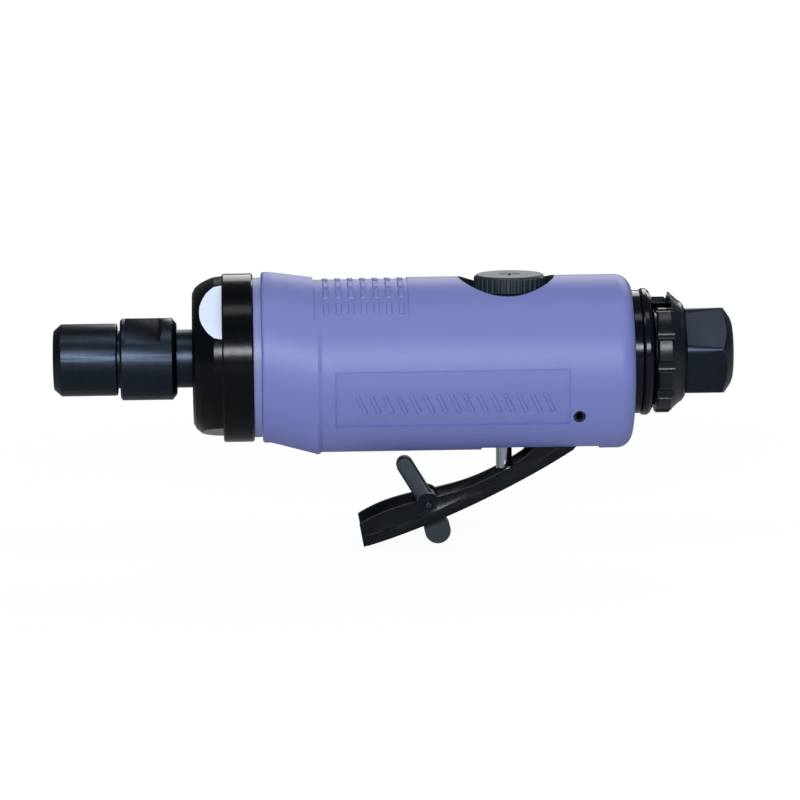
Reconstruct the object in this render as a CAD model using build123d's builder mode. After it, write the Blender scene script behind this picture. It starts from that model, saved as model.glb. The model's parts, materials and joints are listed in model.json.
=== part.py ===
"""Air die grinder: every piece in one frame, in millimetres.

X runs along the spindle, from the nose (-X) to the air inlet, whose mouth is the origin.
Z is up and the throttle lever hangs below the grip. Lengths along X are stations, so a
negative number is how far a face lies ahead of the inlet mouth.
"""
import math
import os

from build123d import *

# ---------------------------------------------------------------- driving dimensions
FIT = 0.05                    # radial clearance of pieces that seat in one another
RUN = 0.08                    # radial clearance of a running fit
GAP = 0.3                     # space between pieces that move past each other

# stations along the spindle
NOSE = -169.0                 # front face of the collet nut
NUT_END = -153.1              # rear face of the collet nut
COLLAR_FRONT = -152.4         # front face of the spindle collar
COLLAR_REAR = -138.4          # rear face of the spindle collar
CAP_FRONT = -134.4            # front face of the front cap
CAP_SHOULDER = -127.0         # where the cap steps out to its ring
CAP_REAR = -119.3             # rear of the ring, seated on the housing
SLEEVE_FRONT = -117.3         # front rim of the grip sleeve
HOUSING_REAR = -25.3          # rear face of the grip sleeve and housing
COVER_REAR = -19.7            # rear face of the rear cover
DEFLECTOR_FRONT = COVER_REAR + GAP
HEX_FRONT = -11.9             # front face of the inlet bushing's hexagon
BOSS_END = HEX_FRONT - GAP    # end of the housing's rear boss

# grip sleeve
GRIP_R = 21.7                 # radius of the grip's round section
GRIP_DROP = 2.2               # how far the grip's centre lies below the spindle
RIM_R = 21.3                  # round front rim, centred on the spindle
SWELL_R = 22.1                # widest section behind the rim
SWELL_DROP = 2.4
RIM_END = -115.3
SWELL_X = -103.6
SWELL_STEP = 1.0              # length of the step down from the swell to the grip
REAR_ROUND = 3.6              # rounding of the grip's rear edge
PANEL_DEPTH = 0.5             # side panels
LABEL_DEPTH = 0.35            # top panel

# motor housing
CORE_R = 17.2
LIP_R = 19.9
MOTOR_BORE_R = 15.2
MOTOR_END = -68.0             # bottom of the motor bore
SPIGOT_R = 16.2               # threaded front of the housing bore
SPIGOT_END = -113.5
BOSS_R = 9.7
THREAD_R = 8.5                # inlet bushing thread
THREAD_END = -27.5
INLET_R = 4.2                 # air passage along the axis
EXHAUST_R = 1.4
EXHAUST_PITCH_R = 13.2
EXHAUST_ANGLES = (-22, 3, 28)

# front cap
CAP_FACE_R = 16.3
CAP_R = 20.4                  # where the dome meets the ring
CAP_DOME = ((-133.7, 17.6), (-132.4, 18.7), (-130.6, 19.6), (-129.0, 20.2))
CAP_RING_R = 21.0
CAP_BORE_R = 8.0
CAP_FLAT_R = 18.6             # axis to wrench flat
CAP_FLAT_ANGLES = (45, 165, 285)

# motor
ROTOR_R = 10.8
CYLINDER_BORE_R = 12.2
CYLINDER_DROP = 1.3           # the cylinder bore is eccentric, with its tight side on top
FRONT_PLATE_END = -110.5
REAR_PLATE_FRONT = -77.5
REAR_PLATE_REAR = -68.5
VANE_COUNT = 4
VANE_THICK = 1.5
VANE_HEIGHT = 5.2
DOWEL_R = 1.0
DOWEL_PITCH_R = 13.1

# ball bearings: bore, outside, width, ball radius and count
FRONT_BEARING = dict(x0=-124.5, bore=6.0, outside=14.0, width=8.0, ball=2.38, count=8)
RACE_RELIEF = 0.5             # keeps the rear plate off the turning inner race
REAR_BEARING = dict(x0=-75.7, bore=4.0, outside=11.0, width=7.0, ball=1.98, count=7)

# spindle nose
NECK_R = 7.25
COLLAR_R = 10.2
COLLAR_FLAT = 8.5             # axis to wrench flat
NUT_R = 9.0
SPIGOT_NOSE_R = 7.2
SHANK_R = 3.175               # quarter inch shank
NUT_TRAVEL = 1.5

# regulator and throttle valve
DIAL_X = -55.3
DIAL_R = 8.9
DIAL_BASE = 16.0
DIAL_TOP = 20.0
KNURL_COUNT = 36
POCKET_X = -56.2
POCKET_R = 12.0
POCKET_FLOOR = 15.4
CUP_R = 6.6
CUP_WALL = 1.0
CUP_BASE = -2.8
CUP_ROOF = 9.0
CUP_TOP = 14.0
STEM_R = 3.2
VALVE_X = -57.0
VALVE_BORE_R = 5.0
PIN_R = 2.0
PIN_END = -29.5
SEAT_TOP = -3.1
SEAT_BASE = -6.0
BUSH_TOP = -8.6
BUSH_BASE = -17.0
CLIP_BASE = -18.0

# throttle lever
PIVOT = (-39.3, -13.4)
PIVOT_PIN_R = 1.5
PIVOT_PIN_HALF = 17.6
EAR_R = 4.0
SLOT_HALF = 7.5
SLOT_FRONT = -62.9
SLOT_REAR = -33.2
SLOT_TOP = -9.0
LEVER_ROOT_HALF = 7.1         # half width of the lever's sole at the slot
LEVER_TIP_HALF = 9.1
WAIST = -58.0                 # the lever widens from here
FLARE = -86.0                 # to here
FLANGE_INSET = 0.6            # the flanges stand in from the sole's edge
FLANGE_THICK = 1.6
SOLE_RISE = 2.6               # sole thickness, measured straight up
SOLE_LINE = ((-39.9, -23.4), (-56.4, -32.7), (-70.9, -39.3), (-92.6, -46.9))
TOP_LINE = ((-51.9, -25.3), (-59.1, -29.5), (-67.1, -32.9), (-79.5, -35.9), (-93.6, -41.3))

# lock lever
LOCK_PIVOT = (-76.3, -36.9)
LOCK_PIN_R = 1.0
LOCK_EAR_R = 3.1
LOCK_PIN_HALF = 8.0
WINDOW_FRONT = -87.6          # opening in the sole that the paddle swings through
WINDOW_REAR = -69.9
WINDOW_HALF = 4.5
LOCK_ARM_END = (-81.9, -27.65)
LOCK_ARM_R = 2.1
LOCK_HALF = 2.6
LOCK_HUB_R = 2.5
PADDLE_END = (-73.9, -43.9)
PADDLE_R = 3.25
PADDLE_HALF = 4.0
RELIEF_HALF = 3.2             # groove in the grip that clears the swung arm
RELIEF_FRONT = -81.7
RELIEF_TOP = -20.2

# rear end
COVER_R = 15.4
BEAD_R = 15.85
DEFLECTOR_R = 15.3
DEFLECTOR_BORE_R = BOSS_R + 0.2
LOBES = 12
INLET_BORE_R = 5.75           # quarter inch pipe thread
INLET_DEPTH = 12.8
SCREEN_R = 5.3
SCREEN_THICK = 0.7
HEX_ACROSS = 21.2
HEX_TURN = -8.5               # turns one edge a little above the level of the spindle


# ---------------------------------------------------------------- helpers
def side_plane(angle):
    """The plane through the spindle whose local y points out at angle above -Y."""
    a = math.radians(angle)
    return Plane(origin=(0, 0, 0), x_dir=(1, 0, 0), z_dir=(0, -math.sin(a), -math.cos(a)))


def turn(*profile, mode=Mode.ADD):
    """Revolve a closed (x, radius) profile about the spindle."""
    with BuildSketch(Plane.XZ) as outline:
        with BuildLine():
            Polyline(*profile, close=True)
        make_face()
    revolve(outline.sketch, axis=Axis.X, mode=mode)


def ring(x0, x1, inner, outer, mode=Mode.ADD):
    """A plain ring about the spindle between two stations."""
    turn((x0, inner), (x1, inner), (x1, outer), (x0, outer), mode=mode)


def disc(x0, x1, radius, mode=Mode.ADD, z=0.0):
    """A round bar along X between two stations."""
    with BuildSketch(Plane.YZ.offset(x0)) as outline:
        with Locations((0, z)):
            Circle(radius)
    extrude(outline.sketch, amount=x1 - x0, mode=mode)


def post(x, z0, z1, radius, mode=Mode.ADD):
    """A round bar along Z at station x."""
    with BuildSketch(Plane.XY.offset(z0)) as outline:
        with Locations((x, 0)):
            Circle(radius)
    extrude(outline.sketch, amount=z1 - z0, mode=mode)


def cross_bar(centre, half, radius, mode=Mode.ADD):
    """A round bar along Y through a point of the XZ plane."""
    with BuildSketch(Plane.XZ) as outline:
        with Locations(centre):
            Circle(radius)
    extrude(outline.sketch, amount=half, both=True, mode=mode)


def slab(points, half, mode=Mode.ADD):
    """A plate of an XZ outline, as wide as twice half along Y."""
    with BuildSketch(Plane.XZ) as outline:
        with BuildLine():
            Polyline(*points, close=True)
        make_face()
    extrude(outline.sketch, amount=half, both=True, mode=mode)


def finish(piece, name):
    """Name a finished piece and write its file."""
    piece.part.label = name
    export_step(piece.part, f"parts/{name}.step")


os.makedirs("parts", exist_ok=True)

# outline of the slot that the lever's ears and flanges swing in
SLOT_OUTLINE = (
    (SLOT_FRONT, -21.5), (-55.0, -21.0), (-44.6, -14.0), (-44.6, SLOT_TOP),
    (SLOT_REAR, SLOT_TOP), (SLOT_REAR, -30.0), (SLOT_FRONT, -30.0),
)


def cut_valve_and_slot():
    """Cuts that the sleeve and the housing share: lever slot, dial pocket, pin holes."""
    slab(SLOT_OUTLINE, SLOT_HALF, mode=Mode.SUBTRACT)
    post(POCKET_X, POCKET_FLOOR, 30, POCKET_R, mode=Mode.SUBTRACT)
    post(VALVE_X, -30, SEAT_TOP + 0.2, VALVE_BORE_R + FIT, mode=Mode.SUBTRACT)
    cross_bar(PIVOT, 30, PIVOT_PIN_R + FIT, mode=Mode.SUBTRACT)


# ---------------------------------------------------------------- motor housing
with BuildPart() as motor_housing:
    turn(
        (CAP_REAR, 0), (CAP_REAR, LIP_R), (SLEEVE_FRONT - FIT, LIP_R), (SLEEVE_FRONT - FIT, CORE_R),
        (HOUSING_REAR, CORE_R), (HOUSING_REAR, BOSS_R), (BOSS_END, BOSS_R), (BOSS_END, 0),
    )
    ring(CAP_REAR, SPIGOT_END, 0, SPIGOT_R, mode=Mode.SUBTRACT)
    disc(SPIGOT_END - 1, MOTOR_END, MOTOR_BORE_R, mode=Mode.SUBTRACT)
    disc(DIAL_X, THREAD_END, INLET_R, mode=Mode.SUBTRACT)
    disc(THREAD_END, BOSS_END, THREAD_R, mode=Mode.SUBTRACT)
    for side in (0, 180):
        for angle in EXHAUST_ANGLES:
            a = math.radians(angle)
            y = EXHAUST_PITCH_R * math.cos(a) * (1 if side else -1)
            with BuildSketch(Plane.YZ.offset(MOTOR_END - 1)):
                with Locations((y, EXHAUST_PITCH_R * math.sin(a))):
                    Circle(EXHAUST_R)
            extrude(amount=HOUSING_REAR - MOTOR_END + 2, mode=Mode.SUBTRACT)
    cut_valve_and_slot()
    post(DIAL_X, CUP_BASE - 0.2, POCKET_FLOOR + 5, CUP_R + RUN, mode=Mode.SUBTRACT)
    post(DIAL_X, CUP_TOP + 0.2, CUP_TOP + 1.3, CUP_R + 0.8, mode=Mode.SUBTRACT)
    feed = Plane(origin=(VALVE_X, 0, -6.6), z_dir=(-11, 0, -6.3))
    with BuildSketch(feed):
        Circle(1.2)
    extrude(amount=14, mode=Mode.SUBTRACT)
finish(motor_housing, "motor_housing")


# ---------------------------------------------------------------- grip sleeve
def grip_section(x, radius, drop):
    """A round section of the grip at station x."""
    with BuildSketch(Plane.YZ.offset(x)) as section:
        with Locations((0, -drop)):
            Circle(radius)
    return section.sketch


def panel(x0, x1, depth, low, high):
    """Sink a flat-bottomed panel into the grip between two angles above -Y."""
    with BuildSketch(Plane.YZ.offset(x0)) as recess:
        with Locations((0, -GRIP_DROP)):
            Circle(GRIP_R + 2)
            Circle(GRIP_R - depth, mode=Mode.SUBTRACT)
        reach = 2 * GRIP_R
        with BuildLine():
            Polyline(
                (0, -GRIP_DROP),
                (-reach * math.cos(math.radians(low)), reach * math.sin(math.radians(low))),
                (-reach * math.cos(math.radians(high)), reach * math.sin(math.radians(high))),
                close=True,
            )
        make_face(mode=Mode.INTERSECT)
    extrude(recess.sketch, amount=x1 - x0, mode=Mode.SUBTRACT)


with BuildPart() as grip_sleeve:
    disc(SLEEVE_FRONT, RIM_END, RIM_R)
    swell = grip_section(SWELL_X, SWELL_R, SWELL_DROP)
    body = grip_section(SWELL_X + SWELL_STEP, GRIP_R, GRIP_DROP)
    loft([grip_section(RIM_END, RIM_R, 0), swell])
    loft([swell, body])
    extrude(body, amount=HOUSING_REAR - SWELL_X - SWELL_STEP)
    fillet(grip_sleeve.edges().filter_by(GeomType.CIRCLE).sort_by(Axis.X)[-1], REAR_ROUND)
    fillet(grip_sleeve.edges().filter_by(GeomType.CIRCLE).sort_by(Axis.X)[0], 0.8)
    for mirrored in (False, True):
        low, high = (-40, 0) if not mirrored else (180, 220)
        panel(-99.4, -41.6, PANEL_DEPTH, low, high)
    panel(-104.4, -80.9, LABEL_DEPTH, 36, 144)
    disc(SLEEVE_FRONT - 1, HOUSING_REAR + 1, CORE_R + FIT, mode=Mode.SUBTRACT)
    cut_valve_and_slot()
    slab(
        ((RELIEF_FRONT, -30), (RELIEF_FRONT, RELIEF_TOP), (SLOT_FRONT + 1, RELIEF_TOP),
        (SLOT_FRONT + 1, -30)),
        RELIEF_HALF, mode=Mode.SUBTRACT,
    )
finish(grip_sleeve, "grip_sleeve")

# ---------------------------------------------------------------- front cap
with BuildPart() as front_cap:
    turn(
        (CAP_FRONT, CAP_BORE_R), (CAP_FRONT, CAP_FACE_R), *CAP_DOME,
        (CAP_SHOULDER, CAP_R), (CAP_SHOULDER, CAP_RING_R - 0.4), (CAP_SHOULDER + 0.4, CAP_RING_R),
        (CAP_REAR - 0.4, CAP_RING_R), (CAP_REAR, CAP_RING_R - 0.4), (CAP_REAR, SPIGOT_R - FIT),
        (SPIGOT_END, SPIGOT_R - FIT), (SPIGOT_END, FRONT_BEARING["outside"] + FIT),
        (FRONT_BEARING["x0"], FRONT_BEARING["outside"] + FIT), (FRONT_BEARING["x0"], 12.4),
        (FRONT_BEARING["x0"] - 1.0, 12.4), (FRONT_BEARING["x0"] - 1.0, 11.0), (-129.5, 11.0),
        (-129.5, CAP_BORE_R),
    )
    for angle in CAP_FLAT_ANGLES:
        with BuildSketch(side_plane(angle)):
            with BuildLine():
                Polyline(
                    (CAP_FRONT - 1, CAP_FLAT_R), (CAP_SHOULDER, CAP_FLAT_R), (CAP_SHOULDER, CAP_R + 3),
                    (CAP_FRONT - 1, CAP_R + 3), close=True,
                )
            make_face()
        extrude(amount=14, both=True, mode=Mode.SUBTRACT)
finish(front_cap, "front_cap")

with BuildPart() as dust_seal:
    ring(-129.5 + FIT, FRONT_BEARING["x0"] - 1.0 - FIT, NECK_R + 0.2, 11.0 - FIT)
finish(dust_seal, "dust_seal")

# ---------------------------------------------------------------- motor, fixed pieces
with BuildPart() as front_end_plate:
    ring(SPIGOT_END + FIT, FRONT_PLATE_END, 6.5, MOTOR_BORE_R - FIT)
    ring(FRONT_BEARING["x0"] + FRONT_BEARING["width"] + FIT, SPIGOT_END + FIT, 11.9,
         FRONT_BEARING["outside"] - FIT)
    disc(FRONT_PLATE_END - 2, FRONT_PLATE_END, DOWEL_R + FIT, mode=Mode.SUBTRACT, z=DOWEL_PITCH_R)
finish(front_end_plate, "front_end_plate")

with BuildPart() as motor_cylinder:
    disc(FRONT_PLATE_END + FIT, REAR_PLATE_FRONT - FIT, MOTOR_BORE_R - FIT)
    disc(FRONT_PLATE_END, REAR_PLATE_FRONT, CYLINDER_BORE_R, mode=Mode.SUBTRACT, z=-CYLINDER_DROP)
    disc(FRONT_PLATE_END, REAR_PLATE_FRONT, DOWEL_R + FIT, mode=Mode.SUBTRACT, z=DOWEL_PITCH_R)
    for side in (-1, 1):
        for station in (-102.0, -98.0, -94.0, -90.0, -86.0):
            with BuildSketch(Plane.XZ):
                with Locations((station, 1.0)):
                    Circle(1.4)
            extrude(amount=20 * side, mode=Mode.SUBTRACT)
finish(motor_cylinder, "motor_cylinder")

with BuildPart() as rear_end_plate:
    ring(REAR_PLATE_FRONT, REAR_PLATE_REAR, 4.7, MOTOR_BORE_R - FIT)
    disc(REAR_BEARING["x0"], REAR_PLATE_REAR, REAR_BEARING["outside"] + FIT, mode=Mode.SUBTRACT)
    disc(REAR_BEARING["x0"] - RACE_RELIEF, REAR_PLATE_REAR, 8.6, mode=Mode.SUBTRACT)
    for side in (-1, 1):
        for angle in EXHAUST_ANGLES:
            a = math.radians(angle)
            with BuildSketch(Plane.YZ.offset(REAR_PLATE_FRONT - 1)):
                with Locations((side * EXHAUST_PITCH_R * math.cos(a), EXHAUST_PITCH_R * math.sin(a))):
                    Circle(EXHAUST_R)
            extrude(amount=12, mode=Mode.SUBTRACT)
    disc(REAR_PLATE_FRONT - 1, REAR_PLATE_REAR + 1, 1.1, mode=Mode.SUBTRACT, z=-12.9)
    disc(REAR_PLATE_FRONT, REAR_PLATE_FRONT + 2, DOWEL_R + FIT, mode=Mode.SUBTRACT, z=DOWEL_PITCH_R)
finish(rear_end_plate, "rear_end_plate")

with BuildPart() as cylinder_dowel:
    disc(FRONT_PLATE_END - 1.8, REAR_PLATE_FRONT + 1.8, DOWEL_R, z=DOWEL_PITCH_R)
finish(cylinder_dowel, "cylinder_dowel")

with BuildPart() as wave_washer:
    ring(REAR_PLATE_REAR + FIT, MOTOR_END - FIT, 8.6, 10.6)
finish(wave_washer, "wave_washer")


# ---------------------------------------------------------------- ball bearings
def bearing_pitch(b):
    """Radius of the circle that the balls' centres run on."""
    return (b["bore"] + b["outside"]) / 2


def race(b, inner, outer):
    """A race with its ball groove."""
    pitch = bearing_pitch(b)
    mid = b["x0"] + b["width"] / 2
    ring(b["x0"], b["x0"] + b["width"], inner, outer)
    with BuildSketch(Plane.XZ) as groove:
        with Locations((mid, pitch)):
            Circle(b["ball"] + FIT)
    revolve(groove.sketch, axis=Axis.X, mode=Mode.SUBTRACT)


def cage(b):
    """A turned cage with a hole for each ball."""
    pitch = bearing_pitch(b)
    mid = b["x0"] + b["width"] / 2
    ring(mid - b["width"] * 0.36, mid + b["width"] * 0.36, pitch - 0.6, pitch + 0.6)
    for i in range(b["count"]):
        outward = side_plane(360 / b["count"] * i).y_dir
        with BuildSketch(Plane(origin=(mid, 0, 0), z_dir=outward)) as hole:
            Circle(b["ball"] + 0.1)
        extrude(hole.sketch, amount=pitch + 4, mode=Mode.SUBTRACT)


def balls(b):
    """The balls, each a solid of its own."""
    pitch = bearing_pitch(b)
    mid = b["x0"] + b["width"] / 2
    for i in range(b["count"]):
        out = side_plane(360 / b["count"] * i).y_dir
        with Locations((mid, pitch * out.Y, pitch * out.Z)):
            Sphere(b["ball"])


LAND = 0.85                   # how far a race's shoulder stays off the ball circle, per ball radius
for bearing, word in ((FRONT_BEARING, "front"), (REAR_BEARING, "rear")):
    with BuildPart() as inner_race:
        race(bearing, bearing["bore"] + FIT, bearing_pitch(bearing) - bearing["ball"] * LAND + 0.3)
    finish(inner_race, f"{word}_bearing_inner_race")
    with BuildPart() as outer_race:
        race(bearing, bearing_pitch(bearing) + bearing["ball"] * LAND - 0.3, bearing["outside"])
    finish(outer_race, f"{word}_bearing_outer_race")
    with BuildPart() as bearing_cage:
        cage(bearing)
    finish(bearing_cage, f"{word}_bearing_cage")
    with BuildPart() as bearing_balls:
        balls(bearing)
    finish(bearing_balls, f"{word}_bearing_balls")

# ---------------------------------------------------------------- rotor and vanes
FRONT_JOURNAL = -124.7
REAR_JOURNAL = -68.7
STUB_END = -135.5
with BuildPart() as rotor:
    disc(FRONT_PLATE_END + 0.2, REAR_PLATE_FRONT - 0.2, ROTOR_R)
    disc(FRONT_JOURNAL, FRONT_PLATE_END + 0.3, FRONT_BEARING["bore"])
    disc(STUB_END, FRONT_JOURNAL, 5.0)
    disc(REAR_PLATE_FRONT - 0.3, REAR_JOURNAL, REAR_BEARING["bore"])
    for i in range(VANE_COUNT):
        with BuildSketch(side_plane(90 + 360 / VANE_COUNT * i)):
            with Locations(((FRONT_PLATE_END + REAR_PLATE_FRONT) / 2, ROTOR_R)):
                Rectangle(40, 2 * (VANE_HEIGHT + 0.3))
        extrude(amount=VANE_THICK / 2 + FIT, both=True, mode=Mode.SUBTRACT)
finish(rotor, "rotor")

for i in range(VANE_COUNT):
    with BuildPart() as vane:
        with BuildSketch(side_plane(90 + 360 / VANE_COUNT * i)):
            with Locations(((FRONT_PLATE_END + REAR_PLATE_FRONT) / 2, ROTOR_R - VANE_HEIGHT / 2 - 0.1)):
                Rectangle(REAR_PLATE_FRONT - FRONT_PLATE_END - 0.4, VANE_HEIGHT)
        extrude(amount=VANE_THICK / 2, both=True)
    finish(vane, f"vane_{i + 1}")

# ---------------------------------------------------------------- spindle nose, collet and nut
SPIGOT_FRONT = -163.0
TAPER_MOUTH_R = 5.5
TAPER_END_R = 4.1
TAPER_END = -149.0
with BuildPart() as spindle_nose:
    turn(
        (SPIGOT_FRONT, TAPER_MOUTH_R), (SPIGOT_FRONT, SPIGOT_NOSE_R - 0.5),
        (SPIGOT_FRONT + 0.5, SPIGOT_NOSE_R), (COLLAR_FRONT, SPIGOT_NOSE_R),
        (COLLAR_FRONT, COLLAR_R - 0.5), (COLLAR_FRONT + 0.5, COLLAR_R), (COLLAR_REAR - 1.1, COLLAR_R),
        (COLLAR_REAR, COLLAR_R - 1.4), (COLLAR_REAR, NECK_R), (FRONT_JOURNAL, NECK_R),
        (FRONT_JOURNAL, 5.0 + FIT), (STUB_END - FIT, 5.0 + FIT), (STUB_END - FIT, 0), (-141.0, 0),
        (-141.0, 3.6), (TAPER_END, 3.6), (TAPER_END, TAPER_END_R),
    )
    for angle in (64, 244):
        with BuildSketch(side_plane(angle)):
            with BuildLine():
                Polyline(
                    (-151.1, COLLAR_FLAT), (-142.8, COLLAR_FLAT), (-141.0, COLLAR_R + 1),
                    (-151.1, COLLAR_R + 1), close=True,
                )
            make_face()
        extrude(amount=12, both=True, mode=Mode.SUBTRACT)
finish(spindle_nose, "spindle_nose")

with BuildPart() as collet:
    turn(
        (-167.5, SHANK_R), (-167.5, 3.9), (-165.4, TAPER_MOUTH_R - 0.1),
        (SPIGOT_FRONT - 0.4, TAPER_MOUTH_R - 0.1),
        (SPIGOT_FRONT, TAPER_MOUTH_R - 0.1), (TAPER_END - 0.6, TAPER_END_R - 0.02),
        (TAPER_END - 0.6, SHANK_R),
    )
    for angle in (0, 60, 120):
        with BuildSketch(side_plane(angle)):
            with Locations((-160.5, 0)):
                Rectangle(15, 20)
        extrude(amount=0.4, both=True, mode=Mode.SUBTRACT)
finish(collet, "collet")

with BuildPart() as collet_nut:
    turn(
        (NOSE, 4.2), (NOSE, NUT_R - 1.7), (NOSE + 1.9, NUT_R), (NUT_END - 0.3, NUT_R),
        (NUT_END, NUT_R - 0.3),
        (NUT_END, SPIGOT_NOSE_R + RUN), (SPIGOT_FRONT - NUT_TRAVEL + 0.9, SPIGOT_NOSE_R + RUN),
        (SPIGOT_FRONT - NUT_TRAVEL + 0.9, 5.8), (-165.5, 5.6), (-167.6, 3.9 + 0.1),
        (-168.4, 3.6), (NOSE + 0.4, 3.6),
    )
finish(collet_nut, "collet_nut")

# ---------------------------------------------------------------- regulator
with BuildPart() as regulator_cup:
    post(DIAL_X, CUP_BASE, CUP_TOP, CUP_R)
    post(DIAL_X, CUP_TOP - 0.1, DIAL_TOP - 1.6, STEM_R)
    post(DIAL_X, CUP_BASE, CUP_ROOF, CUP_R - CUP_WALL, mode=Mode.SUBTRACT)
    disc(DIAL_X, DIAL_X + 10, INLET_R - 0.4, mode=Mode.SUBTRACT)
    with BuildSketch(Plane.XY.offset(11.0)):
        with Locations((DIAL_X, 0)):
            Circle(CUP_R + 1)
            Circle(CUP_R - 1.1, mode=Mode.SUBTRACT)
    extrude(amount=1.8, mode=Mode.SUBTRACT)
    post(DIAL_X, DIAL_TOP - 6, DIAL_TOP, 1.3, mode=Mode.SUBTRACT)
finish(regulator_cup, "regulator_cup")

with BuildPart() as regulator_o_ring:
    with BuildSketch(Plane(origin=(DIAL_X, 0, 11.9), x_dir=(1, 0, 0), z_dir=(0, -1, 0))):
        with Locations((CUP_R - 0.55, 0)):
            Ellipse(0.5, 0.8)
    revolve(axis=Axis(origin=(DIAL_X, 0, 0), direction=(0, 0, 1)))
finish(regulator_o_ring, "regulator_o_ring")

with BuildPart() as regulator_clip:
    post(DIAL_X, CUP_TOP + 0.3, CUP_TOP + 1.2, CUP_R + 0.7)
    post(DIAL_X, CUP_TOP, CUP_TOP + 2, STEM_R + 1.2, mode=Mode.SUBTRACT)
    with BuildSketch(Plane.XY.offset(CUP_TOP)):
        with Locations((DIAL_X, -6)):
            Rectangle(4, 8)
    extrude(amount=2, mode=Mode.SUBTRACT)
finish(regulator_clip, "regulator_clip")

with BuildPart() as regulator_dial:
    post(DIAL_X, DIAL_BASE, DIAL_TOP, DIAL_R)
    chamfer(regulator_dial.edges().group_by(Axis.Z)[-1], 0.7)
    with BuildSketch(Plane.XY.offset(DIAL_BASE - 1)):
        with Locations((DIAL_X, 0)):
            with PolarLocations(DIAL_R + 0.35, KNURL_COUNT):
                Circle(0.6)
    extrude(amount=6.5, mode=Mode.SUBTRACT)
    post(DIAL_X, DIAL_BASE - 1, DIAL_TOP - 1.6, STEM_R + FIT, mode=Mode.SUBTRACT)
    post(DIAL_X, DIAL_TOP - 2, DIAL_TOP + 1, 1.6, mode=Mode.SUBTRACT)
    post(DIAL_X, DIAL_TOP - 1.2, DIAL_TOP + 1, 2.7, mode=Mode.SUBTRACT)
finish(regulator_dial, "regulator_dial")

with BuildPart() as dial_screw:
    post(DIAL_X, DIAL_TOP - 1.2, DIAL_TOP - 0.1, 2.5)
    post(DIAL_X, DIAL_TOP - 5.5, DIAL_TOP - 1.1, 1.25)
    with BuildSketch(Plane.XY.offset(DIAL_TOP - 0.7)):
        with Locations((DIAL_X, 0)):
            Rectangle(4, 0.7)
            Rectangle(0.7, 4)
    extrude(amount=1, mode=Mode.SUBTRACT)
finish(dial_screw, "dial_screw")

# ---------------------------------------------------------------- throttle valve
with BuildPart() as valve_seat:
    post(VALVE_X, SEAT_BASE, SEAT_TOP, VALVE_BORE_R)
    post(VALVE_X, SEAT_BASE - 1, SEAT_TOP + 1, PIN_R + 0.9, mode=Mode.SUBTRACT)
finish(valve_seat, "valve_seat")

with BuildPart() as valve_bushing:
    post(VALVE_X, BUSH_BASE, BUSH_TOP, VALVE_BORE_R)
    post(VALVE_X, BUSH_BASE - 1, BUSH_TOP + 1, PIN_R + RUN, mode=Mode.SUBTRACT)
    post(VALVE_X, BUSH_TOP - 1.6, BUSH_TOP + 1, PIN_R + 1.2, mode=Mode.SUBTRACT)
finish(valve_bushing, "valve_bushing")

with BuildPart() as stem_o_ring:
    post(VALVE_X, BUSH_TOP - 1.5, BUSH_TOP - 0.2, PIN_R + 1.1)
    post(VALVE_X, BUSH_TOP - 2, BUSH_TOP + 1, PIN_R + RUN, mode=Mode.SUBTRACT)
    fillet(stem_o_ring.edges(), 0.3)
finish(stem_o_ring, "stem_o_ring")

with BuildPart() as throttle_pin:
    post(VALVE_X, PIN_END, SEAT_TOP - 0.1, PIN_R)
    fillet(throttle_pin.edges().group_by(Axis.Z)[0], 0.9)
finish(throttle_pin, "throttle_pin")

with BuildPart() as throttle_valve:
    post(VALVE_X, SEAT_TOP, SEAT_TOP + 1.6, 3.4)
    post(VALVE_X, SEAT_TOP + 1.5, SEAT_TOP + 4.6, 1.8)
    chamfer(throttle_valve.edges().group_by(Axis.Z)[-1], 0.4)
finish(throttle_valve, "throttle_valve")

SPRING_BASE = SEAT_TOP + 1.6
SPRING_R = 2.5
SPRING_WIRE = 0.3
with BuildPart() as valve_spring:
    with BuildLine():
        coil = Helix(2.3, CUP_ROOF - SPRING_BASE - 2 * SPRING_WIRE - 0.1, SPRING_R,
                     center=(VALVE_X, 0, SPRING_BASE + SPRING_WIRE))
    with BuildSketch(Plane(origin=coil @ 0, z_dir=coil % 0)):
        Circle(SPRING_WIRE)
    sweep()
finish(valve_spring, "valve_spring")

# ---------------------------------------------------------------- throttle lever
SOLE_INNER = tuple((x, z + SOLE_RISE) for x, z in SOLE_LINE)


def lever_plan(inner, thick):
    """Strips of the lever's plan, thick wide, whose outer edges lie inner in from the sole's."""
    root, tip = LEVER_ROOT_HALF - inner, LEVER_TIP_HALF - inner
    for side in (-1, 1):
        with BuildLine() as strip:
            Polyline(
                (-30, side * root), (WAIST, side * root), (FLARE, side * tip), (-98, side * tip),
                (-98, side * max(tip - thick, 0)), (FLARE, side * max(tip - thick, 0)),
                (WAIST, side * max(root - thick, 0)), (-30, side * max(root - thick, 0)), close=True,
            )
        make_face(strip.edges())


with BuildPart() as lever_sole:
    with BuildSketch(Plane.XZ):
        with BuildLine():
            Spline(*SOLE_LINE)
            Line(SOLE_LINE[-1], SOLE_INNER[-1])
            Spline(*SOLE_INNER[::-1])
            Line(SOLE_INNER[0], SOLE_LINE[0])
        make_face()
    extrude(amount=12, both=True)
    fillet(lever_sole.edges().filter_by(Axis.Y).group_by(Axis.X)[0], 1.0)
    with BuildSketch(Plane.XY.offset(-60)):
        lever_plan(0, LEVER_TIP_HALF)
    extrude(amount=60, mode=Mode.INTERSECT)

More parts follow.
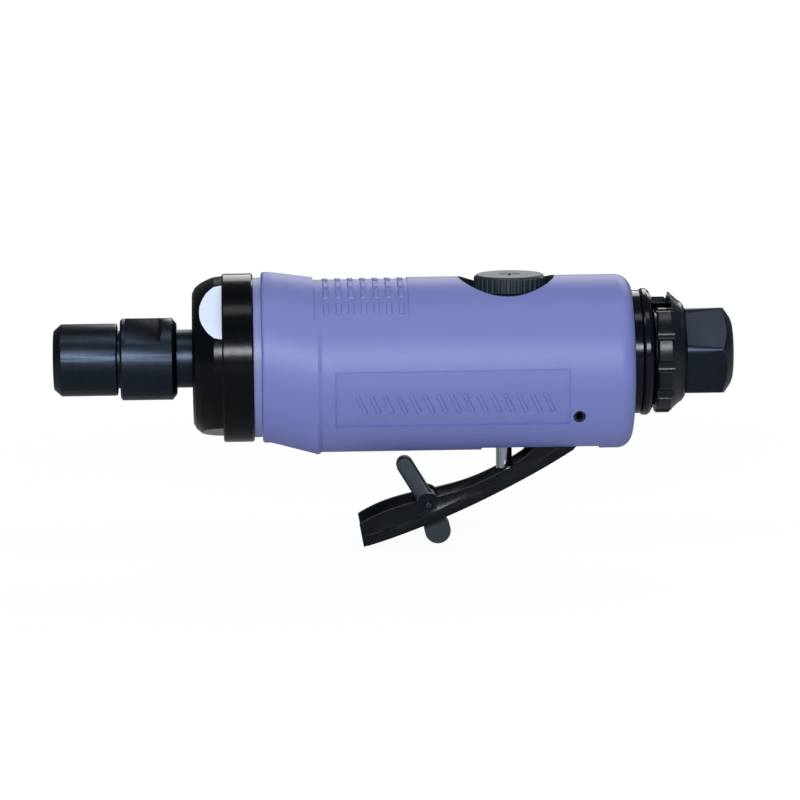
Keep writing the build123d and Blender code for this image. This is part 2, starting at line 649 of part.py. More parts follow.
with BuildPart() as lever_flanges:
    with BuildSketch(Plane.XZ):
        with BuildLine():
            Spline(*SOLE_LINE)
            Line(SOLE_LINE[-1], TOP_LINE[-1])
            Spline(*TOP_LINE[::-1])
            Polyline(
 
                              TOP_LINE[0], (PIVOT[0] - EAR_R, PIVOT[1] - 2.0), PIVOT,
                (PIVOT[0] + EAR_R - 0.2, PIVOT[1] - 1.2),
                (SOLE_LINE[0][0] + 3.0, SOLE_LINE[0][1] + 3.0), SOLE_LINE[0],
            )
        make_face()
        with Locations(PIVOT):
            Circle(EAR_R)
        with Locations(LOCK_PIVOT):
            Circle(LOCK_EAR_R)
    extrude(amount=12, both=True)
    with BuildSketch(Plane.XY.offset(-60)):
        lever_plan(FLANGE_INSET, FLANGE_THICK)
    extrude(amount=60, mode=Mode.INTERSECT)

with BuildPart() as throttle_lever:
    add(lever_sole.part)
    add(lever_flanges.part)
    cross_bar(PIVOT, 12, PIVOT_PIN_R + RUN, mode=Mode.SUBTRACT)
    cross_bar(LOCK_PIVOT, 12, LOCK_PIN_R + FIT, mode=Mode.SUBTRACT)
    with BuildSketch(Plane.XY.offset(-60)):
        with BuildLine():
            Polyline(
                (WINDOW_FRONT, -WINDOW_HALF), (WINDOW_REAR, -WINDOW_HALF), (WINDOW_REAR, WINDOW_HALF),
                (WINDOW_FRONT, WINDOW_HALF), close=True,
            )
        make_face()
    extrude(amount=22.5, mode=Mode.SUBTRACT)
finish(throttle_lever, "throttle_lever")

with BuildPart() as lever_pivot_pin:
    cross_bar(PIVOT, PIVOT_PIN_HALF, PIVOT_PIN_R)
    cross_bar(PIVOT, PIVOT_PIN_HALF, PIVOT_PIN_R - 0.6, mode=Mode.SUBTRACT)
    slab(
        ((PIVOT[0] - 0.25, PIVOT[1]), (PIVOT[0] + 0.25, PIVOT[1]), (PIVOT[0] + 0.25, PIVOT[1] + 3),
         (PIVOT[0] - 0.25, PIVOT[1] + 3)),
        PIVOT_PIN_HALF + 1, mode=Mode.SUBTRACT,
    )
finish(lever_pivot_pin, "lever_pivot_pin")

# ---------------------------------------------------------------- lock lever
with BuildPart() as lock_lever:
    with BuildSketch(Plane.XZ):
        with BuildLine():
            ax, az = LOCK_ARM_END[0] - LOCK_PIVOT[0], LOCK_ARM_END[1] - LOCK_PIVOT[1]
            size = math.hypot(ax, az)
            nx, nz = -az / size * LOCK_ARM_R, ax / size * LOCK_ARM_R
            Polyline(
                (LOCK_PIVOT[0] + nx, LOCK_PIVOT[1] + nz), (LOCK_ARM_END[0] + nx, LOCK_ARM_END[1] + nz),
                (LOCK_ARM_END[0] - nx, LOCK_ARM_END[1] - nz), (LOCK_PIVOT[0] - nx, LOCK_PIVOT[1] - nz),
                close=True,
            )
        make_face()
        with Locations(LOCK_ARM_END):
            Circle(LOCK_ARM_R)
        with Locations(LOCK_PIVOT):
            Circle(LOCK_HUB_R)
    extrude(amount=LOCK_HALF, both=True)
    fillet(lock_lever.edges().group_by(Axis.Z)[-1], 0.5)
    with BuildSketch(Plane.XZ):
        with BuildLine():
            Polyline(
                (LOCK_PIVOT[0] - LOCK_HUB_R, LOCK_PIVOT[1]), (LOCK_PIVOT[0] + LOCK_HUB_R, LOCK_PIVOT[1]),
                (PADDLE_END[0] + PADDLE_R, PADDLE_END[1]),
                (PADDLE_END[0] - PADDLE_R, PADDLE_END[1]), close=True,
            )
        make_face()
        with Locations(PADDLE_END):
            Circle(PADDLE_R)
        with Locations(LOCK_PIVOT):
            Circle(LOCK_HUB_R)
    extrude(amount=PADDLE_HALF, both=True)
    cross_bar(LOCK_PIVOT, 12, LOCK_PIN_R + RUN, mode=Mode.SUBTRACT)
finish(lock_lever, "lock_lever")

with BuildPart() as lock_pin:
    cross_bar(LOCK_PIVOT, LOCK_PIN_HALF, LOCK_PIN_R)
    chamfer(lock_pin.edges().filter_by(GeomType.CIRCLE), 0.2)
finish(lock_pin, "lock_pin")

with BuildPart() as lock_spring:
    with BuildLine():
        coil = Helix(0.62, 1.3, LOCK_PIN_R + 0.5, center=(LOCK_PIVOT[0], PADDLE_HALF + 1.9, LOCK_PIVOT[1]),
                     direction=(0, -1, 0))
    with BuildSketch(Plane(origin=coil @ 0, z_dir=coil % 0)):
        Circle(0.25)
    sweep()
finish(lock_spring, "lock_spring")

# ---------------------------------------------------------------- rear cover, muffler and deflector
with BuildPart() as rear_cover:
    turn(
        (HOUSING_REAR, BOSS_R + FIT), (HOUSING_REAR, COVER_R - 0.3), (HOUSING_REAR + 0.3, COVER_R),
        (HOUSING_REAR + 2.1, COVER_R), (HOUSING_REAR + 2.3, COVER_R - 0.4),
        (HOUSING_REAR + 2.5, BEAD_R - 0.2),
        (HOUSING_REAR + 2.9, BEAD_R), (HOUSING_REAR + 3.9, BEAD_R), (HOUSING_REAR + 4.6, BEAD_R - 0.5),
        (HOUSING_REAR + 5.1, BEAD_R - 1.5), (COVER_REAR - 0.2, 13.4), (COVER_REAR, 12.4),
        (COVER_REAR, BOSS_R + FIT),
    )
    ring(HOUSING_REAR, COVER_REAR - 1.6, BOSS_R + 0.8, COVER_R - 1.6, mode=Mode.SUBTRACT)
    with BuildSketch(Plane.YZ.offset(COVER_REAR - 2)):
        with PolarLocations(11.4, 12, start_angle=15):
            Circle(0.9)
    extrude(amount=3, mode=Mode.SUBTRACT)
finish(rear_cover, "rear_cover")

with BuildPart() as muffler_felt:
    ring(HOUSING_REAR + 0.3, COVER_REAR - 1.9, BOSS_R + 1.1, COVER_R - 1.9)
finish(muffler_felt, "muffler_felt")

CONE_START = -16.0
WALL = 1.9
with BuildPart() as exhaust_deflector:
    turn(
        (DEFLECTOR_FRONT, DEFLECTOR_BORE_R), (DEFLECTOR_FRONT, DEFLECTOR_R - 0.4),
        (DEFLECTOR_FRONT + 0.4, DEFLECTOR_R),
        (CONE_START, DEFLECTOR_R), (-14.3, 13.7), (-13.4, 12.9), (-12.7, 12.5), (HEX_FRONT - 0.1, 11.6),
        (HEX_FRONT - 0.1, DEFLECTOR_BORE_R),
    )
    ring(DEFLECTOR_FRONT, CONE_START + 0.6, DEFLECTOR_BORE_R + 1.0, DEFLECTOR_R - WALL, mode=Mode.SUBTRACT)
    ring(DEFLECTOR_FRONT, DEFLECTOR_FRONT + 1.2, DEFLECTOR_BORE_R, DEFLECTOR_R - WALL, mode=Mode.SUBTRACT)
    with BuildSketch(Plane.YZ.offset(DEFLECTOR_FRONT)):
        with PolarLocations(DEFLECTOR_R + 1.1, LOBES, start_angle=7):
            Circle(1.9)
    extrude(amount=CONE_START + 1.6 - DEFLECTOR_FRONT, mode=Mode.SUBTRACT)
    with BuildSketch(Plane.YZ.offset(DEFLECTOR_FRONT)):
        with Locations((0, DEFLECTOR_BORE_R + 1.3 + 4)):
            Rectangle(17, 8)
    extrude(amount=CONE_START + 0.4 - DEFLECTOR_FRONT, mode=Mode.SUBTRACT)
finish(exhaust_deflector, "exhaust_deflector")

# ---------------------------------------------------------------- inlet bushing
with BuildPart() as inlet_bushing:
    with BuildSketch(Plane.YZ.offset(HEX_FRONT)):
        RegularPolygon(HEX_ACROSS / 2, 6, major_radius=False, rotation=HEX_TURN)
    extrude(amount=-HEX_FRONT)
    turn(
        (HEX_FRONT - 1, 0), (HEX_FRONT - 1, 13), (-3.1, 13), (-3.1, 12.3), (-2.2, 11.0),
        (-1.2, 9.6), (-0.4, 8.4),
        (0, 7.4), (0, 0), mode=Mode.INTERSECT,
    )
    disc(THREAD_END + 0.3, HEX_FRONT + 0.1, THREAD_R - FIT)
    disc(-INLET_DEPTH, 1, INLET_BORE_R, mode=Mode.SUBTRACT)
    disc(-INLET_DEPTH - SCREEN_THICK, 0, SCREEN_R, mode=Mode.SUBTRACT)
    disc(THREAD_END - 1, 0, INLET_R + 0.4, mode=Mode.SUBTRACT)
finish(inlet_bushing, "inlet_bushing")

with BuildPart() as inlet_screen:
    disc(-INLET_DEPTH - SCREEN_THICK + FIT, -INLET_DEPTH - FIT, SCREEN_R - FIT)
    with BuildSketch(Plane.YZ.offset(-INLET_DEPTH - 2)):
        with HexLocations(0.9, 4, 4):
            Circle(0.55)
    extrude(amount=3, mode=Mode.SUBTRACT)
finish(inlet_screen, "inlet_screen")

# ---------------------------------------------------------------- gaskets
with BuildPart() as inlet_gasket:
    ring(BOSS_END + FIT, HEX_FRONT - FIT, THREAD_R + 0.1, BOSS_R - 0.1)
finish(inlet_gasket, "inlet_gasket")

with BuildPart() as bushing_clip:
    post(VALVE_X, CLIP_BASE, BUSH_BASE - FIT, VALVE_BORE_R)
    post(VALVE_X, CLIP_BASE - 1, BUSH_BASE + 1, PIN_R + 0.6, mode=Mode.SUBTRACT)
    with BuildSketch(Plane.XY.offset(CLIP_BASE - 1)):
        with Locations((VALVE_X, -4)):
            Rectangle(2.4, 5)
    extrude(amount=3, mode=Mode.SUBTRACT)
finish(bushing_clip, "bushing_clip")
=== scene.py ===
import json
import math
import bpy
import bmesh
from mathutils import Matrix, Vector

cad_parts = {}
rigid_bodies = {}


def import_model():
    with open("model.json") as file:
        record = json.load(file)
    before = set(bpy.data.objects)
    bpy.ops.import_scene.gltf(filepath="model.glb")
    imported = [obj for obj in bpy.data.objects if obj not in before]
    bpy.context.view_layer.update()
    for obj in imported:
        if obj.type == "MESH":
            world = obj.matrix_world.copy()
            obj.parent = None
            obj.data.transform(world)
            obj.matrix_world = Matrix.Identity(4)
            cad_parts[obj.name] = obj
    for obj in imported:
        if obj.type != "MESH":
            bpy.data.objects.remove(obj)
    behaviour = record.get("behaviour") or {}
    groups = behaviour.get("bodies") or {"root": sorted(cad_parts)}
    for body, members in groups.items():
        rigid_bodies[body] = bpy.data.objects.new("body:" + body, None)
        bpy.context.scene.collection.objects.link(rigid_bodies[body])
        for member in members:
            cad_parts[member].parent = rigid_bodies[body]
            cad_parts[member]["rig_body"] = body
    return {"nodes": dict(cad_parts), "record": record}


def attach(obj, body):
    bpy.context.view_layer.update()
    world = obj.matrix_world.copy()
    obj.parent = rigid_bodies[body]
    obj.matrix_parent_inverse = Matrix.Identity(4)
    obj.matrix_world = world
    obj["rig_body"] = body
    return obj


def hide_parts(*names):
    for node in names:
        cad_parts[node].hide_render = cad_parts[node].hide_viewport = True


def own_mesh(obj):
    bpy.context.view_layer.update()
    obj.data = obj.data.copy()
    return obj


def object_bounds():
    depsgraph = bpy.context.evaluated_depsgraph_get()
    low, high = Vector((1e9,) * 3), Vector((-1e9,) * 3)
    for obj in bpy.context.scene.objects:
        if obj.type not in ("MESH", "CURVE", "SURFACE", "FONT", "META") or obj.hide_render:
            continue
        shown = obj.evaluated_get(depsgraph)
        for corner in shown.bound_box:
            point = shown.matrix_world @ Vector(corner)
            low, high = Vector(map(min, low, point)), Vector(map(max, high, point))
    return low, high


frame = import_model()
CAD_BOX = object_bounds()
MM = 0.001
NODES = frame["nodes"]


# ---------------------------------------------------------------- materials
def srgb(hexa):
    """An sRGB hex value as linear RGBA."""
    parts = [int(hexa[i:i + 2], 16) / 255 for i in (0, 2, 4)]
    return tuple(c / 12.92 if c <= 0.04045 else ((c + 0.055) / 1.055) ** 2.4 for c in parts) + (1.0,)


def add(mat, kind, settings=None, **links):
    """A node of this kind, with its settings and the sockets linked to its inputs."""
    node = mat.node_tree.nodes.new(kind)
    for key, value in (settings or {}).items():
        if isinstance(key, int) or key in node.inputs:
            node.inputs[key].default_value = value
        else:
            setattr(node, key, value)
    for key, socket in links.items():
        name = int(key[2:]) if key.startswith("in") and key[2:].isdigit() else key.replace("_", " ")
        mat.node_tree.links.new(socket, node.inputs[name])
    return node


ROUGH_SWING = 0.05             # how far roughness wanders either way over a surface


def finish_of(name, colour, rough, metal=0.0, mottle=0.04, mottle_mm=9.0, grain_mm=0.35, grain=0.05,
              stretch=(1, 1, 1), level=0.5):
    """A Principled finish whose colour, roughness and height all vary on Object coordinates."""
    mat = bpy.data.materials.new(name)
    mat.use_nodes = True
    shader = mat.node_tree.nodes["Principled BSDF"]
    shader.inputs["Metallic"].default_value = metal
    if not metal:
        shader.inputs["Specular IOR Level"].default_value = level
    place = add(mat, "ShaderNodeTexCoord").outputs["Object"]
    scaled = add(mat, "ShaderNodeMapping", {"Scale": stretch}, Vector=place).outputs[0]
    cloud = add(mat, "ShaderNodeTexNoise", {"Scale": 1000 / mottle_mm, "Detail": 3.0}, Vector=scaled)
    fine = add(mat, "ShaderNodeTexNoise", {"Scale": 1000 / grain_mm, "Detail": 2.0}, Vector=scaled)
    base = srgb(colour)
    low = tuple(c * (1 - 2 * mottle) for c in base[:3]) + (1.0,)
    high = tuple(min(1.0, c * (1 + 2 * mottle)) for c in base[:3]) + (1.0,)
    ramp = add(mat, "ShaderNodeMix", {"data_type": "RGBA", 6: low, 7: high}, in0=cloud.outputs["Fac"])
    mat.node_tree.links.new(ramp.outputs[2], shader.inputs["Base Color"])
    gloss = add(mat, "ShaderNodeMapRange", {"To Min": rough - ROUGH_SWING, "To Max": rough + ROUGH_SWING},
                Value=fine.outputs["Fac"])
    mat.node_tree.links.new(gloss.outputs[0], shader.inputs["Roughness"])
    bump = add(mat, "ShaderNodeBump", {"Strength": grain, "Distance": grain_mm * MM},
               Height=fine.outputs["Fac"])
    mat.node_tree.links.new(bump.outputs[0], shader.inputs["Normal"])
    return mat


FINISHES = {
    # epoxy paint on the die cast housing: blue grey, satin, a fine casting tooth shows through
    "housing_paint": dict(colour="7F88B6", rough=0.40, mottle=0.03, grain_mm=0.8, grain=0.10),
    # moulded thermoplastic rubber over the handle: periwinkle, fine spark-eroded tooth, soft sheen
    "periwinkle_grip": dict(colour="737AB8", rough=0.46, mottle=0.02, grain_mm=0.45, grain=0.10),
    # stove enamel on the front cap: deep black-green gloss with a slight orange peel
    "black_cap_paint": dict(colour="04080B", rough=0.18, mottle=0.05, grain_mm=1.2, grain=0.012, level=0.2),
    # blackened (hot oxide) steel: dark blue grey, turned marks round the axis
    "blackened_steel": dict(colour="343B46", rough=0.36, metal=1.0, mottle=0.08, grain_mm=0.4, grain=0.08,
                            stretch=(6, 1, 1)),
    # ground steel of the motor and the small hardware: bright, fine grinding lines round the axis
    "ground_steel": dict(colour="A9ACB1", rough=0.30, metal=1.0, grain_mm=0.3, grain=0.08,
                         stretch=(5, 1, 1)),
    # polished bearing steel
    "bearing_steel": dict(colour="C8CBD0", rough=0.12, metal=1.0, grain=0.02),
    # hard chrome on the throttle pin: mirror with faint turning lines
    "chrome_pin": dict(colour="C4CAD0", rough=0.20, metal=1.0, grain_mm=0.25, grain=0.03,
                       stretch=(1, 1, 6)),
    # powder coat on the pressed lever: near black with a fine stipple
    "black_lever_paint": dict(colour="060C11", rough=0.22, mottle=0.06, grain_mm=0.7, grain=0.015,
                              level=0.25),
    # glass filled nylon latch: dark bluish grey, dull moulded skin
    "grey_latch_plastic": dict(colour="17252D", rough=0.45, mottle=0.06, grain_mm=0.5, grain=0.06),
    # acetal dial: dark bluish grey, dull moulded skin
    "black_dial_plastic": dict(colour="1C2A32", rough=0.42, mottle=0.05, grain_mm=0.5, grain=0.08),
    # ABS rear cover: moulded gloss
    "black_cover_plastic": dict(colour="070C14", rough=0.16, mottle=0.04, grain_mm=1.5, grain=0.012,
                                level=0.3),
    # glass filled nylon deflector: black, moulded satin
    "deflector_plastic": dict(colour="0B141A", rough=0.24, mottle=0.05, grain_mm=0.6, grain=0.02,
                              level=0.4),
    # turned brass of the valve parts and the inlet screen
    "brass": dict(colour="B08D48", rough=0.26, metal=1.0, grain_mm=0.3, grain=0.05),
    # nitrile rubber seals
    "seal_rubber": dict(colour="17181A", rough=0.6, grain_mm=0.4, grain=0.1),
    # cotton phenolic vanes: brown with a woven mottle
    "vane_composite": dict(colour="6B4A2E", rough=0.55, mottle=0.12, mottle_mm=0.8, grain=0.12),
    # nylon ball cages
    "cage_nylon": dict(colour="CFC6AE", rough=0.4, grain=0.06),
    # grey wool felt of the muffler
    "felt": dict(colour="8F8C84", rough=0.9, mottle=0.15, mottle_mm=1.2, grain_mm=0.3, grain=0.5),
}
MATERIALS = {slot: finish_of(slot, **values) for slot, values in FINISHES.items()}
SLOT_OF = {part["node"]: part["material_slot"] for part in frame["record"]["subparts"]}
for name, slot in SLOT_OF.items():
    NODES[name].data.materials.clear()
    NODES[name].data.materials.append(MATERIALS[slot])


# ---------------------------------------------------------------- pieces finished from their solids
MERGE_MM = 0.01                # corners closer than this are one
HEX_CORNER_MM = 1.6            # how far the hexagon's long corners are cut back
HEX_EDGE_MM = 5                # only edges longer than this
HEX_INSIDE_R = 11              # and further from the axis than this are its corners


def mesh_edit(obj):
    """Only this object selected and in edit mode, all of it selected."""
    bpy.ops.object.select_all(action="DESELECT")
    obj.select_set(True)
    bpy.context.view_layer.objects.active = obj
    bpy.ops.object.mode_set(mode="EDIT")
    bpy.ops.mesh.select_all(action="SELECT")


def smooth(obj, degrees=32):
    """Smooth shading that keeps edges sharper than this angle."""
    bpy.ops.object.select_all(action="DESELECT")
    obj.select_set(True)
    bpy.context.view_layer.objects.active = obj
    bpy.ops.object.shade_smooth_by_angle(angle=math.radians(degrees))


def apply_bevel(obj, width_mm, segments=2, degrees=38):
    """A rounding on every edge sharper than this angle."""
    rounding = obj.modifiers.new("edge_rounding", "BEVEL")
    rounding.width = width_mm * MM
    rounding.segments = segments
    rounding.limit_method = "ANGLE"
    rounding.angle_limit = math.radians(degrees)
    rounding.use_clamp_overlap = True
    rounding.harden_normals = True
    rounding.miter_outer = "MITER_ARC"
    bpy.ops.object.select_all(action="DESELECT")
    obj.select_set(True)
    bpy.context.view_layer.objects.active = obj
    bpy.ops.object.modifier_apply(modifier=rounding.name)


def merged(node, name, body=None):
    """A copy of a solid with its triangles merged, standing for it on its own body or the one named."""
    source = NODES[node]
    bpy.ops.object.select_all(action="DESELECT")
    piece = bpy.data.objects.new(name, source.data.copy())
    bpy.context.scene.collection.objects.link(piece)
    mesh_edit(piece)
    bpy.ops.mesh.remove_doubles(threshold=MERGE_MM * MM)
    bpy.ops.object.mode_set(mode="OBJECT")
    smooth(piece)
    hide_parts(node)
    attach(piece, body or source["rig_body"])
    return piece


def round_long_edges(piece):
    """The six corners of the hexagon rounded, on a piece that is already in edit mode."""
    bpy.ops.mesh.select_mode(type="EDGE")
    bpy.ops.mesh.select_all(action="DESELECT")
    shape = bmesh.from_edit_mesh(piece.data)
    for edge in shape.edges:
        run = edge.verts[1].co - edge.verts[0].co
        middle = (edge.verts[0].co + edge.verts[1].co) / 2
        edge.select_set(abs(run.x) > 0.98 * run.length and run.length > HEX_EDGE_MM * MM
                        and math.hypot(middle.y, middle.z) > HEX_INSIDE_R * MM)
    bmesh.update_edit_mesh(piece.data)
    bpy.ops.mesh.bevel(offset=HEX_CORNER_MM * MM, segments=4)


def eased(node, name, width_mm, flat=0.6):
    """A merged copy of a solid, its flats made whole faces and its sharp edges eased."""
    piece = merged(node, name)
    mesh_edit(piece)
    bpy.ops.mesh.dissolve_limited(angle_limit=math.radians(flat))
    if node == "inlet_bushing":
        round_long_edges(piece)
    bpy.ops.object.mode_set(mode="OBJECT")
    smooth(piece)
    apply_bevel(piece, width_mm)
    return piece


EASED = {
    "spindle_nose": ("spindle_collar", 0.25), "collet_nut": ("collet_nut_shell", 0.35),
    "throttle_lever": ("pressed_lever", 0.5), "lock_lever": ("latch_moulding", 0.4),
    "inlet_bushing": ("hexagon_inlet", 0.7), "lock_pin": ("latch_rivet", 0.2),
}
for node, (name, width) in EASED.items():
    eased(node, name, width)

# the valve spring is held by the regulator above it and shortens as the valve lifts; here it only rides
# with the housing, on a mesh of its own
closing_spring = merged("valve_spring", "closing_spring", "housing")
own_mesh(closing_spring)


FLAT_ANGLES = (45, 165)        # degrees round the axis from the front
FLAT_MATCH = 0.9999            # cosine above which a normal is a flat's
CAP_SHOULDER = -127.0
POCKET_X, POCKET_R = 56.2, 12.0
POCKET_GAP = 0.04
POCKET_FLOOR = 13              # the pocket's wall is above this height
BOSS_START = -25.4


def masked(mat, mask, colour):
    """Where the mask is 1 the finish takes this colour."""
    tree = mat.node_tree
    shader = tree.nodes["Principled BSDF"]
    under = shader.inputs["Base Color"].links[0].from_socket
    mix = add(mat, "ShaderNodeMix", {"data_type": "RGBA", 7: srgb(colour)}, in0=mask, in6=under)
    tree.links.new(mix.outputs[2], shader.inputs["Base Color"])


def flats_painted_reflection(mat):
    """The cap's upper flats on its dome painted pale: a painted reflection of the white lamps."""
    facing = add(mat, "ShaderNodeTexCoord").outputs["Normal"]
    best = None
    for angle in FLAT_ANGLES:
        normal = (0, -math.cos(math.radians(angle)), math.sin(math.radians(angle)))
        dot = add(mat, "ShaderNodeVectorMath", {"operation": "DOT_PRODUCT", 1: normal}, in0=facing)
        best = dot.outputs["Value"] if best is None else add(
            mat, "ShaderNodeMath", {"operation": "MAXIMUM"}, in0=best, in1=dot.outputs["Value"]).outputs[0]
    flat = add(mat, "ShaderNodeMath", {"operation": "GREATER_THAN", 1: FLAT_MATCH}, in0=best)
    place = add(mat, "ShaderNodeSeparateXYZ", None, in0=add(mat, "ShaderNodeTexCoord").outputs["Object"])
    dome = add(mat, "ShaderNodeMath", {"operation": "LESS_THAN", 1: CAP_SHOULDER * MM},
               in0=place.outputs["X"])
    mask = add(mat, "ShaderNodeMath", {"operation": "MULTIPLY"}, in0=flat.outputs[0], in1=dome.outputs[0])
    # pale colour on the flats: painted reflection of the lamps
    masked(mat, mask.outputs[0], "DCE6F6")


def painted_pocket_shade(mat):
    """Inside the dial's pocket the wall is painted dark: painted shade of the deep recess round the dial.
    """
    spot = add(mat, "ShaderNodeTexCoord").outputs["Object"]
    moved = add(mat, "ShaderNodeVectorMath", {"operation": "ADD", 1: (POCKET_X * MM, 0, 0)}, in0=spot)
    parts = add(mat, "ShaderNodeSeparateXYZ", None, in0=moved.outputs[0])
    flat = add(mat, "ShaderNodeCombineXYZ", None, X=parts.outputs["X"], Y=parts.outputs["Y"])
    from_dial = add(mat, "ShaderNodeVectorMath", {"operation": "LENGTH"}, in0=flat.outputs[0])
    near = add(mat, "ShaderNodeMath", {"operation": "LESS_THAN", 1: (POCKET_R + POCKET_GAP) * MM},
               in0=from_dial.outputs["Value"])
    high = add(mat, "ShaderNodeMath", {"operation": "GREATER_THAN", 1: POCKET_FLOOR * MM},
               in0=parts.outputs["Z"])
    mask = add(mat, "ShaderNodeMath", {"operation": "MULTIPLY"}, in0=near.outputs[0], in1=high.outputs[0])
    # dark colour in the pocket: painted shade
    masked(mat, mask.outputs[0], "10151F")


def dark_boss(mat):
    """The paint stops short of the inlet boss, which is blackened."""
    place = add(mat, "ShaderNodeSeparateXYZ", None, in0=add(mat, "ShaderNodeTexCoord").outputs["Object"])
    behind = add(mat, "ShaderNodeMath", {"operation": "GREATER_THAN", 1: BOSS_START * MM},
                 in0=place.outputs["X"])
    masked(mat, behind.outputs[0], "0B1016")


# painted reflection on the cap's upper flats
flats_painted_reflection(MATERIALS["black_cap_paint"])
# painted shade inside the dial's pocket
painted_pocket_shade(MATERIALS["periwinkle_grip"])
dark_boss(MATERIALS["housing_paint"])


# ---------------------------------------------------------------- raised ribs of the moulded grip
GRIP_R, GRIP_DROP = 21.7, 2.2
SIDE_FLOOR = GRIP_R - 0.5      # radius of the sunken side panels
TOP_FLOOR = GRIP_R - 0.35      # and of the sunken top panel
SLANT_START, SLANT_STEP, SLANT_COUNT = -93, 3.3, 15
SLANT_TURN = 24
SHORT_START, SHORT_STEP, SHORT_COUNT = -101.3, 3.1, 7
SHORT_LEVELS = range(48, 133, 14)
EASED_SHARE = 0.18             # share of a rib's width that each eased top edge takes
DROP_SHARE = 0.45              # share of its height that the eased edge drops


def rib(name, length, width, height):
    """One raised rib lying along Y, centred on the origin, its top edges eased."""
    bpy.ops.object.select_all(action="DESELECT")
    bpy.ops.mesh.primitive_cube_add(size=1)
    bar = bpy.context.object
    bar.name = name
    bar.data.transform(Matrix.Diagonal((width * MM, length * MM, height * MM, 1)))
    mesh_edit(bar)
    shell = bmesh.from_edit_mesh(bar.data)
    for face in shell.faces:
        face.select_set(face.normal.z > 0.9)
    bmesh.update_edit_mesh(bar.data)
    bpy.ops.mesh.inset(thickness=width * EASED_SHARE * MM)
    bpy.ops.mesh.select_all(action="DESELECT")
    shell = bmesh.from_edit_mesh(bar.data)
    top = max(v.co.z for v in shell.verts)
    outer = [v for v in shell.verts if v.co.z > top - 1e-7
             and (abs(v.co.x) > width * 0.45 * MM or abs(v.co.y) > length * 0.5 * MM - width * 0.05 * MM)]
    for v in outer:
        v.co.z -= height * DROP_SHARE * MM
    bmesh.update_edit_mesh(bar.data)
    bpy.ops.object.mode_set(mode="OBJECT")
    return bar


def on_grip(x, degrees, radius, turn):
    """The place of a rib on the grip: along X, round by degrees above level, turned in the surface."""
    a = math.radians(degrees)
    out = Vector((0, -math.cos(a), math.sin(a)))
    around = Vector((0, math.sin(a), math.cos(a)))
    place = Matrix((Vector((1, 0, 0)), around, out)).transposed().to_4x4()
    place.translation = (Vector((x, 0, -GRIP_DROP)) + out * radius) * MM
    return place @ Matrix.Rotation(math.radians(turn), 4, "Z")


def rib_field(name, master, places):
    """Copies of one rib at these places, joined as one piece that rides with the housing."""
    copies = []
    for place in places:
        copy = bpy.data.objects.new(name, master.data.copy())
        copy.data.transform(place)
        bpy.context.scene.collection.objects.link(copy)
        copies.append(copy)
    bpy.ops.object.select_all(action="DESELECT")
    for copy in copies:
        copy.select_set(True)
    bpy.context.view_layer.objects.active = copies[0]
    bpy.ops.object.join()
    field = bpy.context.object
    field.data.materials.clear()
    field.data.materials.append(MATERIALS["periwinkle_grip"])
    smooth(field)
    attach(field, "housing")
    return field


slant = rib("slant_rib", 5.2, 1.1, 0.7)
for side, level in (("near", -20), ("far", 200)):
    turn = SLANT_TURN if side == "near" else -SLANT_TURN
    rib_field(f"{side}_side_ribs", slant,
              [on_grip(SLANT_START + SLANT_STEP * i, level, SIDE_FLOOR, turn) for i in range(SLANT_COUNT)])
bpy.data.objects.remove(slant)
short = rib("short_rib", 3.4, 1.5, 0.6)
rib_field("top_ribs", short,
          [on_grip(SHORT_START + SHORT_STEP * i, level, TOP_FLOOR, 0)
           for i in range(SHORT_COUNT) for level in SHORT_LEVELS])
bpy.data.objects.remove(short)


# ---------------------------------------------------------------- stage, lamps and camera
PAGE_GLOW = 1.03               # the floor's own light, as the camera sees it
GLOSS_SHARE = 0.15             # share of it that shows in gloss
NEAR_M, FAR_M, NEAR_SHARE = 0.15, 1.2, 0.92    # near the part some of the lit card shows, far off none
CARD_IN_GLOSS = (0.25, 0.26, 0.28, 1)
ROOM_GLOW, ROOM_LESS_IN_GLOSS = 0.20, 0.09
FLOOR_GAP, FLOOR_X, FLOOR_M = 0.5, -80, 12


def stage_material(name, tint):
    """A pale matt surface that stays pale to the eye and keeps a faint shadow."""
    mat = bpy.data.materials.new(name)
    mat.use_nodes = True
    nodes, links = mat.node_tree.nodes, mat.node_tree.links
    nodes["Principled BSDF"].inputs["Roughness"].default_value = 0.95
    path = add(mat, "ShaderNodeLightPath")
    dimmed = add(mat, "ShaderNodeMix", {"data_type": "RGBA", 6: tint, 7: CARD_IN_GLOSS},
                 in0=path.outputs["Is Glossy Ray"])
    links.new(dimmed.outputs[2], nodes["Principled BSDF"].inputs["Base Color"])
    part_glossy = add(mat, "ShaderNodeMath", {"operation": "MULTIPLY", 1: GLOSS_SHARE},
                      in0=path.outputs["Is Glossy Ray"])
    seen = add(mat, "ShaderNodeMath", {"operation": "MAXIMUM"}, in0=path.outputs["Is Camera Ray"],
               in1=part_glossy.outputs[0])
    spot = add(mat, "ShaderNodeTexCoord").outputs["Object"]
    away = add(mat, "ShaderNodeVectorMath", {"operation": "LENGTH"}, in0=spot)
    far = add(mat, "ShaderNodeMapRange", {"From Min": NEAR_M, "From Max": FAR_M, "To Min": NEAR_SHARE},
              Value=away.outputs["Value"])
    share = add(mat, "ShaderNodeMath", {"operation": "MULTIPLY"}, in0=seen.outputs[0], in1=far.outputs[0])
    glow = add(mat, "ShaderNodeEmission", {"Color": (1, 1, 1, 1), "Strength": PAGE_GLOW})
    mix = add(mat, "ShaderNodeMixShader", None, in0=share.outputs[0],
              in1=nodes["Principled BSDF"].outputs[0], in2=glow.outputs[0])
    links.new(mix.outputs[0], nodes["Material Output"].inputs["Surface"])
    return mat


bpy.ops.object.select_all(action="DESELECT")
FLOOR_Z = CAD_BOX[0][2] - FLOOR_GAP * MM
bpy.ops.mesh.primitive_plane_add(size=FLOOR_M, location=(FLOOR_X * MM, 0, FLOOR_Z))
floor = bpy.context.object
floor.name = "pale_floor"
floor.data.materials.append(stage_material("matt_white_card", (0.85, 0.85, 0.85, 1)))

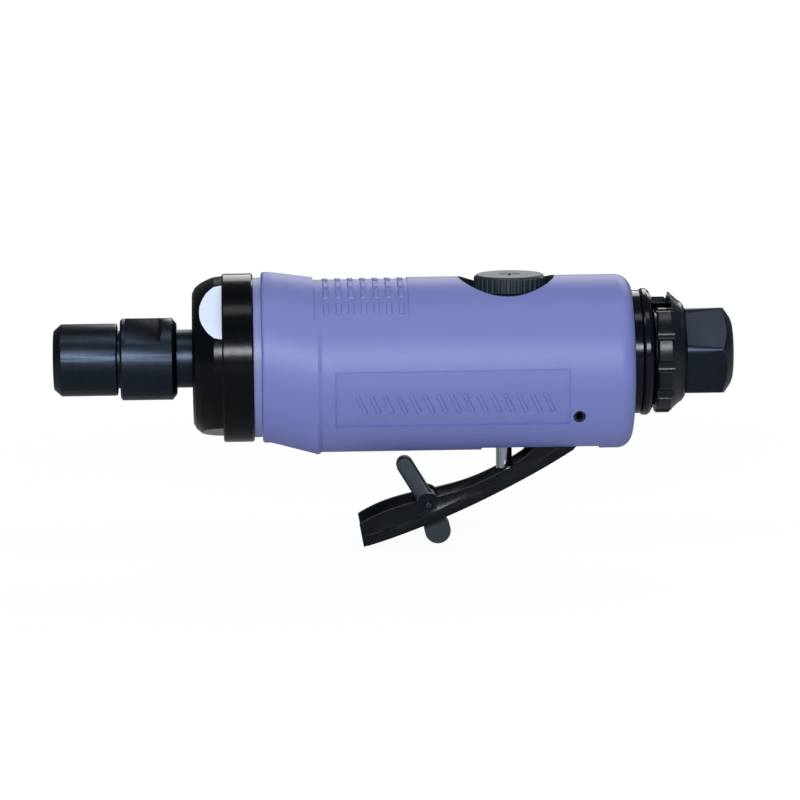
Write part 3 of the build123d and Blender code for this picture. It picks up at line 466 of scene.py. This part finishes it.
world = bpy.data.worlds.new("soft_room")
bpy.context.scene.world = world
world.use_nodes = True
wt = world.node_tree
room = wt.nodes["Background"]
room.inputs["Color"].default_value = (0.92, 0.95, 1.0, 1)
page = wt.nodes.new("ShaderNodeBackground")
page.inputs["Color"].default_value = (1, 1, 1, 1)
page.inputs["Strength"].default_value = 1.0
path = wt.nodes.new("ShaderNodeLightPath")
choose = wt.nodes.new("ShaderNodeMixShader")
calm = wt.nodes.new("ShaderNodeMath")
calm.operation = "MULTIPLY_ADD"
calm.inputs[1].default_value, calm.inputs[2].default_value = -ROOM_LESS_IN_GLOSS, ROOM_GLOW
wt.links.new(path.outputs["Is Glossy Ray"], calm.inputs[0])
wt.links.new(calm.outputs[0], room.inputs["Strength"])
wt.links.new(path.outputs["Is Camera Ray"], choose.inputs[0])
wt.links.new(room.outputs[0], choose.inputs[1])
wt.links.new(page.outputs[0], choose.inputs[2])
wt.links.new(choose.outputs[0], wt.nodes["World Output"].inputs["Surface"])

AIM = Vector((-82.9, 0, -11.3)) * MM


def lamp(name, azimuth, elevation, distance, width, height, watts, colour=(1, 1, 1)):
    """An area lamp at this bearing from the part, turned to face it."""
    a, e = math.radians(azimuth), math.radians(elevation)
    data = bpy.data.lights.new(name, "AREA")
    data.shape, data.size, data.size_y, data.energy = "RECTANGLE", width, height, watts
    data.color = colour
    lamp_object = bpy.data.objects.new(name, data)
    bpy.context.scene.collection.objects.link(lamp_object)
    away = Vector((math.sin(a) * math.cos(e), -math.cos(a) * math.cos(e), math.sin(e)))
    lamp_object.location = AIM + away * distance
    lamp_object.rotation_euler = away.to_track_quat("Z", "Y").to_euler()


# bearings in degrees, then distance, width and height in metres, and watts
lamp("front_key", -6, 17, 1.5, 0.8, 0.22, 15.0, (0.88, 0.93, 1.0))
lamp("top_softbox", 0, 76, 0.9, 1.6, 0.2, 2.6)
lamp("flat_kicker", 83, 50, 0.9, 0.35, 0.35, 0.5)
lamp("back_fill", 165, 30, 1.6, 1.0, 0.8, 8.0)

CAMERA_AT = Vector((-119.6, -1087.3, 151.3)) * MM
LENS_MM, SENSOR_MM = 198, 36
CAMERA_ROLL = -0.62            # degrees
cam_data = bpy.data.cameras.new("camera")
cam_data.lens, cam_data.sensor_width = LENS_MM, SENSOR_MM
cam_data.clip_start, cam_data.clip_end = 0.01, 50
camera = bpy.data.objects.new("camera", cam_data)
bpy.context.scene.collection.objects.link(camera)
camera.location = CAMERA_AT
look = (CAMERA_AT - AIM).to_track_quat("Z", "Y").to_matrix().to_4x4()
camera.rotation_euler = (look @ Matrix.Rotation(math.radians(CAMERA_ROLL), 4, "Z")).to_euler()
bpy.context.scene.camera = camera
bpy.context.scene.view_settings.view_transform = "Standard"
